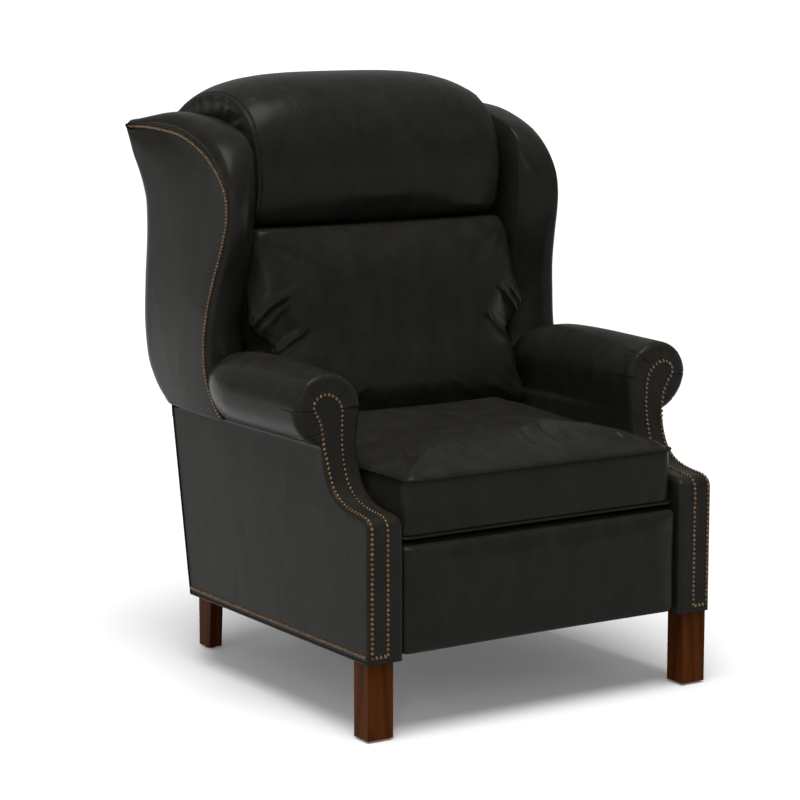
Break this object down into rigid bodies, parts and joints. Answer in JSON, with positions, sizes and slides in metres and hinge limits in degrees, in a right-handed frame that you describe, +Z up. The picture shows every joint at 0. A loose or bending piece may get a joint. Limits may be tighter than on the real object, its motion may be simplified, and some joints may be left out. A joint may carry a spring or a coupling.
{
  "type": "wingback recliner",
  "caption": "Push-back leather armchair with wings, rolled arms, nail trim and a footrest that folds out from under the seat",
  "frame": {"origin": "on the floor, under the middle of the chair's outline", "axes": "+X to the right of someone facing the chair, +Y to its back, +Z up"},
  "size_m": [0.87, 0.9338, 1.14],
  "materials": {
    "leather": "satin",
    "wood": "satin",
    "timber": "matte",
    "steel": "satin",
    "glide": "matte",
    "nail_brass": "satin"
  },
  "bodies": {
    "base": {"front_leg_left": "wood", "front_leg_right": "wood", "rear_leg_left": "wood", "rear_leg_right": "wood", "glides": "glide", "side_rail_left": "timber", "side_rail_right": "timber", "front_posts": "timber", "rear_posts": "timber", "arm_boards": "timber", "front_rail": "timber", "rear_rail": "timber", "corner_rails": "timber", "inside_arm_left": "leather", "inside_arm_right": "leather", "outside_arm_left": "leather", "outside_arm_right": "leather", "arm_facing_left": "leather", "arm_facing_right": "leather", "base_rear_panel": "leather", "mechanism_rails": "steel", "hinge_plates": "steel", "hinge_pins": "steel", "base_pins": "steel"},
    "back": {"back_post_left": "timber", "back_post_right": "timber", "back_top_rail": "timber", "back_middle_rail": "timber", "back_bottom_rail": "timber", "back_springs": "steel", "outside_back": "leather", "wing_left": "leather", "wing_right": "leather", "headrest": "leather", "back_cushion": "leather", "back_brackets": "steel", "rod_pins": "steel"},
    "front_swing": {"front_swing_links": "steel"},
    "rear_swing": {"rear_swing_links": "steel"},
    "seat": {"seat_rail_left": "timber", "seat_rail_right": "timber", "seat_front_rail": "timber", "seat_rear_rail": "timber", "seat_springs": "steel", "seat_cushion": "leather", "seat_plates": "steel", "seat_pins": "steel"},
    "drive_rods": {"drive_rods": "steel"},
    "foot_rear": {"foot_rear_links": "steel", "foot_cross_tube": "steel", "elbow_pins": "steel"},
    "foot_front": {"foot_front_links": "steel"},
    "footrest": {"foot_brackets": "steel", "foot_bracket_pins": "steel", "footrest_board": "timber", "footrest_pad": "leather"}
  },
  "joints": [
    {"name": "back_recline", "type": "hinge", "parent": "base", "child": "back", "pos_m": [0, 0.26113, 0.43], "axis": [-1, 0, 0], "range_deg": [0, 25]},
    {"name": "front_swing_turn", "type": "hinge", "parent": "base", "child": "front_swing", "pos_m": [0, -0.24387, 0.332], "axis": [-1, 0, 0], "range_deg": [0, 35]},
    {"name": "rear_swing_turn", "type": "hinge", "parent": "base", "child": "rear_swing", "pos_m": [0, -0.01387, 0.332], "axis": [-1, 0, 0], "range_deg": [0, 35]},
    {"name": "seat_carry", "type": "hinge", "parent": "front_swing", "child": "seat", "pos_m": [0, -0.20478, 0.20802], "axis": [-1, 0, 0], "range_deg": [-35, 0]},
    {"name": "drive_rod_turn", "type": "hinge", "parent": "back", "child": "drive_rods", "pos_m": [0, 0.26113, 0.245], "axis": [1, 0, 0], "range_deg": [0, 30.6]},
    {"name": "footrest_open", "type": "hinge", "parent": "seat", "child": "foot_rear", "pos_m": [0, -0.33387, 0.304], "axis": [-1, 0, 0], "range_deg": [0, 77]},
    {"name": "footrest_unfold", "type": "hinge", "parent": "foot_rear", "child": "foot_front", "pos_m": [0, -0.35008, 0.14985], "axis": [1, 0, 0], "range_deg": [0, 128]},
    {"name": "footrest_turn", "type": "hinge", "parent": "foot_front", "child": "footrest", "pos_m": [0, -0.37636, 0.31578], "axis": [-1, 0, 0], "range_deg": [0, 141]}
  ],
  "couplings": [
    {"joint": "front_swing_turn", "follows": "back_recline", "ratio": 1.4},
    {"joint": "rear_swing_turn", "follows": "back_recline", "ratio": 1.4},
    {"joint": "seat_carry", "follows": "back_recline", "ratio": -1.4},
    {"joint": "drive_rod_turn", "follows": "back_recline", "ratio": 1.2206},
    {"joint": "footrest_unfold", "follows": "footrest_open", "ratio": 1.6623},
    {"joint": "footrest_turn", "follows": "footrest_open", "ratio": 1.8311}
  ]
}
